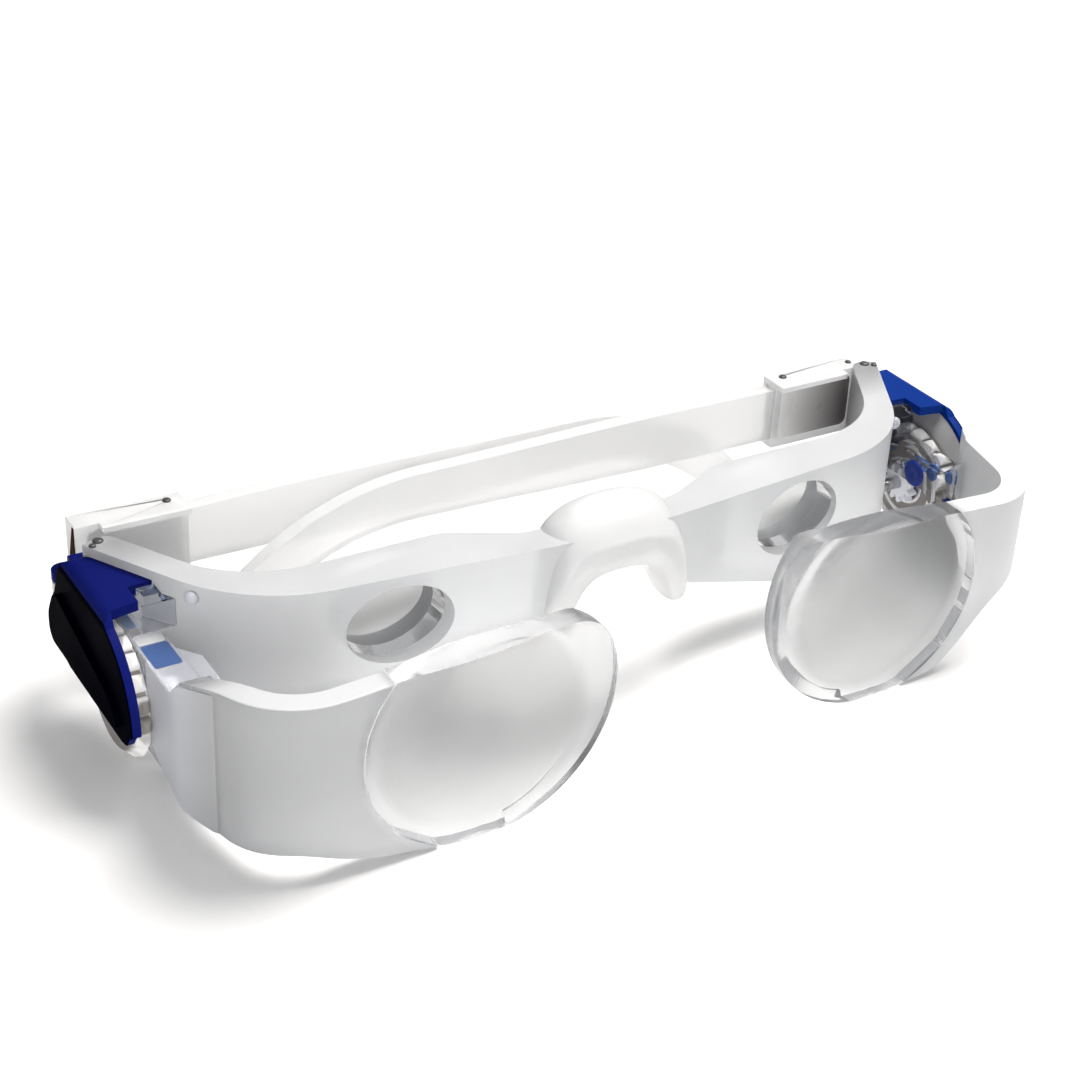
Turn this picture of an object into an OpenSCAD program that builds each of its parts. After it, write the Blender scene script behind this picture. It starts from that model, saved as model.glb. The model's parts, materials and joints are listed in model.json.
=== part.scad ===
// Telescopic glasses: a pair of low-power telescopes worn like spectacles.
// Each eye looks through a small hollow ocular lens in the rear frame and a large
// objective lens carried on an arm. A ribbed wheel at each temple turns a pinion,
// which drives the rack on the arm and so sets the focus of that eye.
// X runs across the face, -Y forwards, Z up. The glasses stand on a table at Z = 0,
// temples folded, as they lie when put down.

/* [Optics] */
// Distance between the two optical axes
pupil_gap = 64; // [60:1:68]
// Height of the ocular lens centres above the table
axis_z = 18.8; // [18.4:0.2:19]
// Width of an ocular lens
ocular_w = 15; // [12:0.5:16]
// Height of an ocular lens
ocular_h = 11.4; // [10:0.2:12]
// Edge thickness of an ocular lens
ocular_t = 4; // [3.5:0.5:4.5]
// Radius of the hollow ocular surfaces
ocular_r = 26.5; // [24:0.5:40]
// Diameter of the curved part of an objective lens
objective_d = 29.6; // [26:0.2:30]
// Radius of the clear zone around the objective centre, towards the arm
lens_zone_r = 16.4; // [16.2:0.1:16.8]
// Height of the objective lens centres
objective_z = 15.8; // [15.5:0.1:16.5]
// Radius of the front objective surface
objective_front_r = 70; // [60:5:100]
// Radius of the back objective surface
objective_back_r = 50; // [45:5:80]

/* [Rear frame] */
// Height of the top edge of the rear frame
frame_top = 26; // [25.6:0.2:27]
// Height of the bottom edge beside the oculars
frame_bottom = 8.8; // [8:0.2:10]
// Front face of the bridge, measured from the axis plane of the frame
bridge_front = 11.8; // [11:0.2:12.6]
// Thickness of the bridge from front to back
bridge_t = 6; // [5:0.5:7]
// Back face of the frame beside the oculars
frame_back = 0.8; // [0.4:0.1:1.2]
// How far the frame ends reach outside the arms
end_reach = 1.1; // [0.9:0.1:1.3]
// How far back the ends of the frame reach
frame_end_y = 16.8; // [16.6:0.1:17.2]
// Angle at which the ends sweep back
end_angle = 60.7; // [59:0.1:62]
// Outer radius of the bend from the front into the swept ends
temple_bend = 22; // [18:1:24]
// Wall thickness of the swept ends
end_t = 4; // [3.6:0.1:4.2]
// Radius of the rounded inner corner of the ends
end_round = 2.4; // [1.6:0.2:2.8]
// Half width of the nose arch at its foot
nose_half = 12.2; // [11:0.2:13]
// Height of the nose arch
nose_top = 22; // [21:0.2:22.6]

/* [Nose saddle] */
// Height of the saddle above the top edge of the frame
saddle_rise = 4.2; // [3:0.2:5]
// Half width of the saddle
saddle_half = 10.5; // [9.5:0.5:11.5]
// Thickness of the soft lining in the nose arch
lining_t = 2.8; // [2:0.2:3.4]
// Thickness of the saddle in front of and behind the bridge
saddle_flap = 1.5; // [1.2:0.1:2]
// How far the legs reach below the foot of the arch
leg_drop = 2.4; // [1.6:0.2:3]

/* [Objective arms] */
// Front face of the objective plates with the arms pushed fully back
plate_back = 28; // [27:0.2:29]
// Thickness of the plates and arms
plate_t = 3.4; // [3:0.1:3.8]
// Radius of the nasal rim of a plate
rim_r = 19; // [18.6:0.1:19.2]
// Height of the top edge at the arm
plate_top = 25.4; // [24:0.2:26]
// Rise of the top edge from the arm to the nasal corner
plate_crown = 3.2; // [2.6:0.2:4]
// Depth of the chamfer behind the nasal rim
rim_chamfer = 2.2; // [1:0.1:2.4]
// Angle at which the lower edge rises to the arm
arm_rise = 20; // [16:1:24]
// Half width of the pair of arms, outside
arm_x = 64.4; // [64:0.1:64.6]
// Bend radius of the arm around the temple corner, outside
arm_bend = 12; // [10:0.5:14]
// Length of the frosted arm from the plate face to the rack block
arm_l = 18.5; // [17.5:0.1:19]
// Full focus travel
focus_travel = 5.4; // [4.4:0.2:5.6]
// How far forward the left arm is set
advance_left = 3.4; // [0:0.2:4.4]
// How far forward the right arm is set
advance_right = 0.9; // [0:0.1:4.4]

/* [Rack and pinion] */
// Tooth module
tooth_m = 0.5; // [0.45:0.01:0.55]
// Number of pinion teeth
pinion_teeth = 12; // [12:1:13]
// Length of the pinion along its axle
pinion_w = 1.4; // [1.2:0.1:1.5]
// Width of the rack block
rack_w = 4.4; // [4:0.1:4.6]
// Height of the upper limb of the rack block over the rack
rack_h = 4.6; // [4.2:0.1:4.8]
// Play between teeth
backlash = 0.16; // [0.12:0.01:0.2]

/* [Focus wheel] */
// Height of the wheel axle
wheel_z = 10.6; // [10.5:0.1:10.8]
// How far the wheel axle lies behind the axis plane
wheel_y = 5.2; // [5:0.1:5.4]
// Outer diameter over the ribs
wheel_d = 18.6; // [17.8:0.2:19]
// Width of the wheel
wheel_w = 2.3; // [2.1:0.1:2.5]
// Number of ribs
wheel_ribs = 18; // [14:1:20]
// Width of a rib
rib_w = 2.3; // [2:0.1:2.4]
// How far the ribs round off towards the housing
rib_fall = 1.5; // [1:0.1:1.6]
// Diameter of the blue hub
hub_d = 5; // [4.6:0.1:5.4]
// Diameter of the axle
axle_d = 2; // [1.6:0.1:2.2]

/* [Housing] */
// How far the housing reaches behind the axis plane of the frame
housing_back = 22; // [21.6:0.1:22.2]
// Radius of the front edge of the housing, above the wheel
housing_r = 12.2; // [11.8:0.1:12.4]
// Where the housing top begins, behind the axis plane
housing_brow = 2; // [1.6:0.1:2.4]
// Height of the foot of the housing
housing_foot = 9.9; // [9.6:0.1:10.2]
// Height of the housing top
housing_top = 24.6; // [24.2:0.1:25]
// Wall thickness of the housing
housing_wall = 1.4; // [1.2:0.1:1.6]
// Rounding of the outer top edge of the housing
housing_round = 2; // [1.6:0.1:2.4]
// Thickness of a side panel
panel_t = 0.7; // [0.6:0.1:0.8]
// Navy rim left below and behind a side panel
panel_rim = 0.6; // [0.4:0.1:0.8]
// Height of a side panel's top edge at the front
panel_low = 14.4; // [14:0.1:14.8]
// Height of a side panel's top edge at the rear
panel_high = 19.2; // [18.8:0.1:19.6]

/* [Temples] */
// How far the hinge axes lie inside the frame ends
hinge_inset = 0.1; // [0:0.1:0.2]
// How far back the right hinge axis lies
hinge_y = 20.9; // [20.8:0.1:21.2]
// How much further back the left hinge lies, so that the temples fold over each other
fold_step = 4.7; // [4.6:0.1:4.8]
// Diameter of the hinge pins
pin_d = 1.5; // [1.2:0.1:1.8]
// Diameter of the hinge knuckles
knuckle_d = 3.6; // [3.4:0.1:3.8]
// Length of a sleeve from the hinge axis
sleeve_l = 17.4; // [16:0.2:22]
// Height of a sleeve
sleeve_h = 11.2; // [10.6:0.2:12]
// Thickness of a sleeve
sleeve_t = 3.6; // [3.4:0.1:4]
// How far the cap on a sleeve stands out in front
cap_reach = 3.4; // [2.8:0.2:3.6]
// Thickness of the cap
cap_t = 0.9; // [0.7:0.1:0.9]
// Height of the sleeve tops
temple_top = 24.6; // [24:0.1:25]
// Thickness of a temple bar
bar_t = 2.4; // [2:0.1:2.6]
// Height of a temple bar inside its sleeve
bar_h = 8.6; // [8:0.1:9]
// Height of a temple bar where the ear bend begins
bar_waist = 7.4; // [6.6:0.2:8]
// Distance from the hinge axis to the start of the ear bend
bend_start = 80; // [74:1:84]
// Radius of the ear bend
bend_r = 39; // [36:1:44]
// How far a temple bar pulls out of its sleeve
bar_travel = 8; // [4:1:8]
// Diameter of the stop pins in the sleeves
stop_d = 0.8; // [0.6:0.1:0.9]

/* [Clearances] */
// Gap around a bonded lens
lens_gap = 0.05; // [0.03:0.01:0.1]
// Gap between a moving piece and what it runs beside
run_gap = 0.3; // [0.3:0.02:0.36]
// Radial gap of pins and axles
pin_gap = 0.06; // [0.04:0.01:0.1]

/* [Hidden] */

// Plane geometry helpers
function unit(v) = v / norm(v);
function arc(c, r, from, to, n) = [for (i = [0:n]) c + r * [cos(from + (to - from) * i / n), sin(from + (to - from) * i / n)]];
function turn(a) = a > 180 ? a - 360 : a < -180 ? a + 360 : a;
function fillet(a, p, b, r, n) =
    let (u = unit(a - p), v = unit(b - p), half = acos(u * v) / 2, c = p + unit(u + v) * r / sin(half),
        s = p + u * r / tan(half) - c, e = p + v * r / tan(half) - c, from = atan2(s[1], s[0]))
    arc(c, r, from, from + turn(atan2(e[1], e[0]) - from), n);
function rounded(pts, radii, n = 8) =
    [for (i = [0:len(pts) - 1]) each radii[i] == 0 ? [pts[i]]
        : fillet(pts[(i + len(pts) - 1) % len(pts)], pts[i], pts[(i + 1) % len(pts)], radii[i], n)];
function oval(w, h, n = 48) = [for (i = [0:n - 1]) [w / 2 * cos(360 * i / n), h / 2 * sin(360 * i / n)]];

// Sizes that follow from the ones above
axis_x = pupil_gap / 2;
frame_end_x = arm_x + end_reach;
hinge_x = frame_end_x - hinge_inset;
end_dir = [cos(end_angle), sin(end_angle)];
end_out = [sin(end_angle), -cos(end_angle)];
front_fall = 3.4 / 36;
corner_out = let (x = (frame_end_y + bridge_front - tan(end_angle) * frame_end_x) / (front_fall - tan(end_angle)))
    [x, front_fall * x - bridge_front];
inner_end = [frame_end_x, frame_end_y] - end_out * end_t;
end_flat = [frame_end_x, frame_end_y] - end_out * (end_t - end_round);
corner_in = [inner_end[0] - (inner_end[1] + frame_back) / tan(end_angle), -frame_back];
lens_y = 1.9 + ocular_t / 2 - front_y(axis_x);
pitch_r = tooth_m * pinion_teeth / 2;
pitch_z = wheel_z + pitch_r;
rack_root = pitch_z + 1.1 * tooth_m;
rack_top = rack_root + rack_h;
knuckle_foot = temple_top - sleeve_h - 0.8;
knuckle_top = knuckle_foot + 5.2;
stop_x = sleeve_l - 2.4;
stop_z = temple_top - (sleeve_h - bar_h) / 2 - 1.4;
block_x = arm_x - rack_w;
pinion_x = arm_x - pinion_w - 0.1;
wheel_x = arm_x + run_gap;
wall_in = wheel_x + wheel_w + run_gap;
wall_x = wall_in + housing_wall;
housing_x = wall_x + panel_t;
block_front = arm_l - plate_back;
fork_top = wheel_z - pitch_r - tooth_m - run_gap;
fork_bottom = 4.4;
front_limit = plate_back + advance_left + objective_sag(objective_front_r);
rear_limit = hinge_y + fold_step + sleeve_t / 2;
mid_y = (rear_limit - front_limit) / 2;

function front_y(x) = bridge_front - front_fall * x;
function end_x(y) = frame_end_x - (frame_end_y - y) / tan(end_angle);
function objective_sag(r) = r - sqrt(r * r - objective_d * objective_d / 4);

// Moves a piece into the common frame, centred over the footprint
module place(left = false)
    translate([0, -mid_y, 0])
        mirror([left ? 1 : 0, 0, 0]) children();

// Extrudes an outline drawn in X and Z along Y, from y0 to y1
module along_y(y0, y1) translate([0, y1, 0]) rotate([90, 0, 0]) linear_extrude(y1 - y0) children();

// Extrudes an outline drawn in Y and Z along X, from x0 to x1
module along_x(x0, x1) translate([x0, 0, 0]) rotate([90, 0, 90]) linear_extrude(x1 - x0) children();

// A round bar along X, Y or Z
module bar_x(x0, x1, y, z, d) translate([x0, y, z]) rotate([0, 90, 0]) cylinder(d = d, h = x1 - x0, $fn = 40);
module bar_z(z0, z1, x, y, d) translate([x, y, z0]) cylinder(d = d, h = z1 - z0, $fn = 40);

// Plan of the rear frame: thick beside the oculars, thin where the ends sweep back
frame_front = concat([[0, -bridge_front]],
    fillet([0, -bridge_front], corner_out, [frame_end_x, frame_end_y], temple_bend, 12), [[frame_end_x, frame_end_y]]);
frame_rear = let (b = [0, bridge_t - bridge_front], c = [saddle_half + 1.6, b[1]], d = [c[0] + 2 * (-frame_back - b[1]), -frame_back])
    concat([b], fillet(b, c, d, 6, 4), fillet(c, d, corner_in, 6, 4), fillet(d, corner_in, inner_end, temple_bend - end_t - 1, 12),
        fillet(corner_in, inner_end, [frame_end_x, frame_end_y], end_round, 6));

module frame_plan() polygon(concat(
    [for (i = [len(frame_front) - 1:-1:1]) [-frame_front[i][0], frame_front[i][1]]], frame_front,
    [for (i = [len(frame_rear) - 1:-1:1]) frame_rear[i]], [for (p = frame_rear) [-p[0], p[1]]]));

// Front view of the rear frame, with its nose arch
module frame_face() {
    half = [[frame_end_x + 4, frame_bottom], [30, frame_bottom], [nose_half, frame_bottom + 5.4], [6.4, nose_top]];
    side = [[frame_end_x + 4, frame_top]];
    pts = concat(side, half, [for (i = [3:-1:0]) [-half[i][0], half[i][1]]], [[-side[0][0], frame_top]]);
    polygon(rounded(pts, [0, 0, 14, 1.8, 4, 4, 1.8, 14, 0, 0], 6));
}

module rear_frame() color("whitesmoke") place()
    difference() {
        intersection() {
            linear_extrude(frame_top) frame_plan();
            along_y(-bridge_front - 1, frame_end_y + 4) frame_face();
        }
        for (s = [-1, 1]) {
            translate([s * axis_x, 0, axis_z]) along_y(-bridge_front - 1, 2)
                polygon(oval(ocular_w + 2 * lens_gap, ocular_h + 2 * lens_gap));
            mirror([s < 0 ? 1 : 0, 0, 0]) {
                bar_x(end_x(wheel_y) - 1.6, end_x(wheel_y) + 4, wheel_y, wheel_z, axle_d);
                bar_x(wheel_x - run_gap, wheel_x + 5, wheel_y, wheel_z, wheel_d + 2 * run_gap);
            }
        }
    }

// Soft saddle: a cap over the bridge and a lining with two legs in the nose arch
module nose_saddle() color("white") place() {
    foot = frame_bottom + 5.4 - leg_drop;
    cap = frame_top + saddle_rise;
    back = bridge_t - bridge_front + saddle_flap;
    half = [[nose_half - 0.6, foot], [nose_half - lining_t - 0.8, foot], [6.4 - lining_t, nose_top - lining_t]];
    difference() {
        intersection() {
            along_y(-bridge_front - saddle_flap, back)
                polygon(rounded(concat(
                    [[-saddle_half + 1.2, cap], [saddle_half - 1.2, cap], [saddle_half, frame_top - 3.5], [saddle_half - 0.6, nose_top - 3]],
                    half, [for (i = [2:-1:0]) [-half[i][0], half[i][1]]],
                    [[-saddle_half + 0.6, nose_top - 3], [-saddle_half, frame_top - 3.5]]),
                    [5.4, 5.4, 2, 2, 1, 1, 2.4, 2.4, 1, 1, 2, 2], 6));
            along_x(-saddle_half - 4, saddle_half + 4)
                polygon(rounded([[-bridge_front - saddle_flap, foot - 1], [back, foot - 1], [back, cap], [-bridge_front - saddle_flap, cap]],
                    [3, 3, 3.6, 3.6], 6));
        }
        intersection() {
            along_y(-bridge_front - run_gap, bridge_t - bridge_front + run_gap)
                polygon(concat([[-30, frame_top + run_gap], [30, frame_top + run_gap], [30, 0]],
                    rounded([[nose_half + 3, 0], [nose_half - run_gap, 0], [nose_half - run_gap, frame_bottom + 5.4], [6.4 - run_gap, nose_top - run_gap],
                        [run_gap - 6.4, nose_top - run_gap], [run_gap - nose_half, frame_bottom + 5.4], [run_gap - nose_half, 0], [-nose_half - 3, 0]],
                        [0, 0, 1, 4, 4, 1, 0, 0], 6), [[-30, 0]]));
            translate([-40, -60, 0]) cube([80, 80, 60]);
        }
    }
}

module ocular_lens() color("lightcyan")
    difference() {
        translate([axis_x, 0, axis_z]) along_y(lens_y - ocular_t / 2, lens_y + ocular_t / 2) polygon(oval(ocular_w, ocular_h));
        for (s = [-1, 1])
            translate([axis_x, lens_y + s * (ocular_t / 2 + sqrt(ocular_r * ocular_r - ocular_w * ocular_w / 4)), axis_z])
                rotate([90, 0, 0]) sphere(r = ocular_r, $fn = 96);
    }

// Plan of an objective plate and its arm, outer and inner line
function arm_line(inset) = let (a = [0, inset - plate_back], c = [arm_x - 3.6 - inset, inset - plate_back], e = [arm_x - inset, arm_l - plate_back])
    concat([a], fillet(a, c, e, arm_bend - inset, 12), [e]);

// Front view of an objective: round nasal rim, straight lower edge, crowned top edge
module objective_face() {
    low = 8;
    start = [axis_x, rim_r - 0.25] + rim_r * [sin(low), -cos(low)];
    knee = start + 12 * [1, tan(low)];
    far = [arm_x + 4, knee[1] + (arm_x + 4 - knee[0]) * tan(arm_rise)];
    pts = concat(arc([axis_x, rim_r - 0.25], rim_r, low - 90, -190, 36),
        fillet([axis_x - rim_r, rim_r + 2], [axis_x - rim_r + 2.2, plate_top + plate_crown], [arm_x + 2, plate_top], 6, 8),
        [[arm_x + 4, plate_top], far], fillet(far, knee, start, 26, 8));
    intersection() {
        polygon(pts);
        square([arm_x + 6, 40]);
    }
}

module objective_body() intersection() {
    linear_extrude(plate_top + plate_crown + 2)
        polygon(concat(arm_line(0), [for (i = [len(arm_line(plate_t)) - 1:-1:0]) arm_line(plate_t)[i]]));
    along_y(-plate_back - 1, arm_l) objective_face();
    union() {
        translate([axis_x - 4, -plate_back - 1, 0]) cube([60, 60, 60]);
        translate([axis_x, -plate_back, rim_r - 0.25]) rotate([-90, 0, 0]) cylinder(r1 = rim_r + 2, r2 = rim_r - rim_chamfer, h = plate_t, $fn = 96);
    }
}

// Where the clear lens ends on the plate: all of the nasal side, and a round edge towards the arm
module lens_zone(gap) {
    translate([axis_x, objective_z]) circle(r = lens_zone_r + gap, $fn = 96);
    translate([0, -5]) square([axis_x, 50]);
}

module objective(advance) color("gainsboro") translate([0, -advance, 0])
    difference() {
        objective_body();
        along_y(-plate_back - 1, plate_t + 0.02 - plate_back) lens_zone(lens_gap);
    }

module objective_lens(advance) color("azure") translate([0, -advance, 0]) {
    front = -plate_back;
    back = plate_t - plate_back;
    intersection() {
        objective_body();
        along_y(front - 1, back + 0.01) lens_zone(0);
    }
    intersection() {
        union() {
            intersection() {
                translate([axis_x, front - 4, objective_z]) rotate([-90, 0, 0]) cylinder(d = objective_d, h = 4 + plate_t / 2, $fn = 96);
                translate([axis_x, front - objective_sag(objective_front_r) + objective_front_r, objective_z])
                    rotate([90, 0, 0]) sphere(r = objective_front_r, $fn = 96);
            }
            intersection() {
                translate([axis_x, back - plate_t / 2, objective_z]) rotate([-90, 0, 0]) cylinder(d = objective_d, h = 4 + plate_t / 2, $fn = 96);
                translate([axis_x, back + objective_sag(objective_back_r) - objective_back_r, objective_z])
                    rotate([90, 0, 0]) sphere(r = objective_back_r, $fn = 96);
            }
        }
        along_y(front - 6, back + 6) objective_face();
    }
}

// Involute pinion outline, centred on the origin, one tooth pointing along the second axis
function inv(a) = tan(a) * 180 / PI - a;
function tooth_half(r) = let (rb = pitch_r * cos(20)) 90 / pinion_teeth - backlash / pitch_r * 90 / PI / 2 + inv(20) - inv(acos(min(1, rb / r)));
module pinion_outline() {
    rb = pitch_r * cos(20);
    tip = pitch_r + 0.7 * tooth_m;
    root = pitch_r - 1.1 * tooth_m;
    polygon([for (i = [0:pinion_teeth - 1]) each let (a = 90 + 360 * i / pinion_teeth, rs = [for (k = [0:4]) rb + (tip - rb) * k / 4])
        concat([root * [cos(a - tooth_half(rb)), sin(a - tooth_half(rb))]],
            [for (r = rs) r * [cos(a - tooth_half(r)), sin(a - tooth_half(r))]],
            [for (k = [4:-1:0]) rs[k] * [cos(a + tooth_half(rs[k])), sin(a + tooth_half(rs[k]))]],
            [root * [cos(a + tooth_half(rb)), sin(a + tooth_half(rb))]])]);
}

// Clear block behind the arm: an upper limb with the rack and two windows, and a lower limb
module rack_block(advance) color("aliceblue") translate([0, -advance, 0]) {
    pitch = PI * tooth_m;
    n = ceil((focus_travel + 3) / pitch);
    difference() {
        intersection() {
            along_x(block_x, arm_x) difference() {
                polygon([[block_front, fork_bottom], [block_front, rack_top + 3], [block_front + 3, rack_top], [16, rack_top],
                    [16, rack_root], [-3.2, rack_root], [-4.6, rack_root - 1.4], [-4.6, fork_top + 1.2], [-3.4, fork_top], [3, fork_top], [3, fork_bottom]]);
            }
            linear_extrude(40) polygon([[block_x - 1, -20], [arm_x + 1, -20], [arm_x + 1, frame_end_y - run_gap * 2],
                [end_x(frame_end_y) + 0.4, frame_end_y - run_gap * 2], [end_x(-20) + 0.4 + run_gap, -20]]);
        }
        for (w = [[-0.8, 3.9], [7.4, 4.8]])
            translate([block_x + 0.7, w[0], rack_top - 3]) cube([rack_w - 1.4, w[1], 4]);
    }
    intersection() {
        along_x(pinion_x, arm_x) for (i = [0:n - 1])
            polygon([for (p = [[-1, 1.2], [-1, -0.7], [1, -0.7], [1, 1.2]])
                [wheel_y + (i + 0.5 - 1) * pitch + p[0] * (pitch / 4 - backlash / 4 + p[1] * tooth_m * tan(20)), pitch_z + p[1] * tooth_m]]);
        linear_extrude(40) polygon([[block_x - 1, -20], [arm_x + 1, -20], [arm_x + 1, frame_end_y - run_gap * 2],
            [end_x(frame_end_y) + 0.4, frame_end_y - run_gap * 2], [end_x(-20) + 0.4 + run_gap, -20]]);
    }
}

// Clear guide on the frame end, over the upper limb of the rack block
module guide() color("aliceblue") {
    g = rack_top + run_gap;
    front = housing_brow + 1.4;
    side = arm_x - 1.6;
    translate([0, 0, g]) linear_extrude(housing_top - housing_wall - g - 0.02)
        polygon([[end_x(front), front], [side, front], [side, frame_end_y - (frame_end_x - side) * tan(end_angle)]]);
    translate([side - 3, front + 0.2, g]) cube([2.6, 2.6, housing_top - 0.2 - g]);
}

// Side view of the housing: a front edge round the wheel, a straight foot and a rounded rear
module housing_profile() {
    c = [wheel_y, wheel_z + 1];
    dip = asin((c[1] - housing_foot) / housing_r);
    polygon(concat(arc(c, housing_r, 180 + dip - 6, 112, 16), rounded([[housing_brow - 0.4, housing_top],
        [frame_end_y, housing_top], [housing_back, panel_low], [housing_back - 0.2, housing_foot],
        [c[0] - housing_r * cos(dip), housing_foot]], [1, 2, 6, 2.4, 1.2], 6)));
}

// Side view of a side panel: low at the front, high at the rear
module panel_profile() polygon(rounded([[-4, housing_foot + panel_rim], [-0.6, panel_low],
    [housing_back - 3.6, panel_high], [housing_back - panel_rim, panel_low], [housing_back - panel_rim - 0.2, housing_foot + panel_rim]],
    [0.6, 4, 2, 5, 2], 6));

// Everything inside the rounded outer top edge
module housing_edge() translate([0, 40, 0]) rotate([90, 0, 0]) linear_extrude(80) {
    square([wall_x - housing_round, housing_top]);
    square([wall_x, housing_top - housing_round]);
    translate([wall_x - housing_round, housing_top - housing_round]) circle(r = housing_round, $fn = 48);
}

module housing() color("navy") {
    notch = housing_brow + 4.6;
    difference() {
        intersection() {
            linear_extrude(housing_top)
                polygon([[end_x(notch + 0.2), notch + 0.2], [frame_end_x, frame_end_y], [wall_x, frame_end_y - 0.2],
                    [wall_x, housing_brow - 0.2], [arm_x - 1.1, housing_brow + 0.8], [arm_x - 1.1, notch]]);
            along_x(50, 80) housing_profile();
            housing_edge();
        }
        along_x(50, wall_in) polygon([[-10, -1], [frame_end_y - housing_wall, -1],
            [frame_end_y - housing_wall, housing_top - housing_wall], [-10, housing_top - housing_wall]]);
        bar_x(wall_in - 1, wall_x - 0.4, wheel_y, wheel_z, axle_d);
    }
    difference() {
        intersection() {
            along_x(wall_in, wall_x) housing_profile();
            housing_edge();
        }
        bar_x(wall_in - 1, wall_x - 0.4, wheel_y, wheel_z, axle_d);
    }
}

module side_panel() color("black") along_x(wall_x, housing_x) panel_profile();

module axle() color("silver") bar_x(end_x(wheel_y) - 1.6, wall_x - 0.4, wheel_y, wheel_z, axle_d);

module focus_wheel(advance) color("ivory") translate([0, wheel_y, wheel_z]) rotate([advance / pitch_r * 180 / PI, 0, 0])
    difference() {
        intersection() {
            along_x(wheel_x, wheel_x + wheel_w) {
                circle(d = wheel_d - rib_w - 0.4, $fn = 90);
                for (i = [0:wheel_ribs - 1]) rotate(360 * (i + 0.5) / wheel_ribs)
                    translate([0, wheel_d / 2 - rib_w / 2]) circle(d = rib_w, $fn = 24);
            }
            translate([wheel_x, 0, 0]) rotate([0, 90, 0]) rotate_extrude($fn = 90)
                polygon([[0, 0], [wheel_d / 2 - 0.5, 0], [wheel_d / 2 + 0.1, 0.6], [wheel_d / 2 + 0.1, wheel_w - rib_fall],
                    [wheel_d / 2 - rib_fall, wheel_w], [0, wheel_w]]);
        }
        bar_x(wheel_x - 1, wheel_x + wheel_w + 1, 0, 0, hub_d);
    }

module wheel_hub(advance) color("mediumblue") translate([0, wheel_y, wheel_z]) rotate([advance / pitch_r * 180 / PI, 0, 0])
    difference() {
        union() {
            bar_x(arm_x + 0.05, wheel_x + wheel_w, 0, 0, hub_d);
            along_x(pinion_x, arm_x + 0.05) pinion_outline();
        }
        bar_x(pinion_x - 1, wheel_x + wheel_w + 1, 0, 0, axle_d + 2 * pin_gap);
    }

// Hinge block on the end of the frame: two low knuckles with the sleeve's knuckle between
module hinge_block(step) color("lightgray") {
    y = hinge_y + step;
    third = (knuckle_top - knuckle_foot) / 3;
    root = inner_end[1] + 0.05;
    side = wall_in - 0.3;
    difference() {
        union() {
            bar_z(knuckle_foot, knuckle_top, hinge_x, y, knuckle_d);
            translate([0, 0, knuckle_foot]) linear_extrude(knuckle_top - knuckle_foot)
                polygon([[frame_end_x - 0.6, root - 0.5], [side - 0.1, root - 0.5], [hinge_x + knuckle_d / 2 - 0.4, y], [hinge_x - knuckle_d / 2 + 0.6, y]]);
            translate([0, 0, knuckle_foot]) linear_extrude(housing_top - 0.8 - knuckle_foot)
                polygon([end_flat, [frame_end_x, frame_end_y], [side, frame_end_y], [side, root], [end_flat[0], root]]);
        }
        translate([hinge_x - 15, y - knuckle_d / 2 - 0.9, knuckle_foot + third - 0.15]) cube([30, 30, third + 0.3]);
        bar_z(knuckle_foot - 1, knuckle_top + 1, hinge_x, y, pin_d);
    }
}

module hinge_pin(step) color("dimgray") bar_z(knuckle_foot, knuckle_top, hinge_x, hinge_y + step, pin_d);

// White sleeve that carries the temple bar, with its hinge knuckle and a hood over the hinge
module temple_sleeve(step) color("white") translate([hinge_x, hinge_y + step, 0]) {
    z0 = temple_top - sleeve_h;
    third = (knuckle_top - knuckle_foot) / 3;
    root = knuckle_d / 2 + 0.4;
    hood = knuckle_top + run_gap;
    difference() {
        union() {
            translate([-sleeve_l, -sleeve_t / 2, z0]) cube([sleeve_l - root, sleeve_t, sleeve_h]);
            translate([-root - 1, -sleeve_t / 2, hood]) cube([2, sleeve_t, temple_top - hood]);
            translate([-sleeve_l, -cap_reach, temple_top - cap_t]) cube([sleeve_l - root - 2.4, cap_reach + sleeve_t / 2, cap_t]);
            translate([0, 0, knuckle_foot + third + 0.05]) {
                cylinder(d = knuckle_d, h = third - 0.1, $fn = 40);
                translate([-root - 0.5, -knuckle_d / 2 + 0.4, 0]) cube([root + 0.5, knuckle_d - 0.8, third - 0.1]);
            }
        }
        translate([-sleeve_l - 1, -bar_t / 2 - lens_gap, z0 + (sleeve_h - bar_h) / 2 - lens_gap])
            cube([sleeve_l + 1 - root - 1.2, bar_t + 2 * lens_gap, bar_h + 2 * lens_gap]);
        bar_z(z0, z0 + sleeve_h, 0, 0, pin_d + 2 * pin_gap);
        bar_z(stop_z, temple_top + 1, -stop_x, 0, stop_d);
    }
}

// Stop pin in the top of the sleeve; it stands in the slot of the temple bar
module stop_pin(step) color("dimgray") bar_z(stop_z, temple_top, hinge_x - stop_x, hinge_y + step, stop_d);

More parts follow.
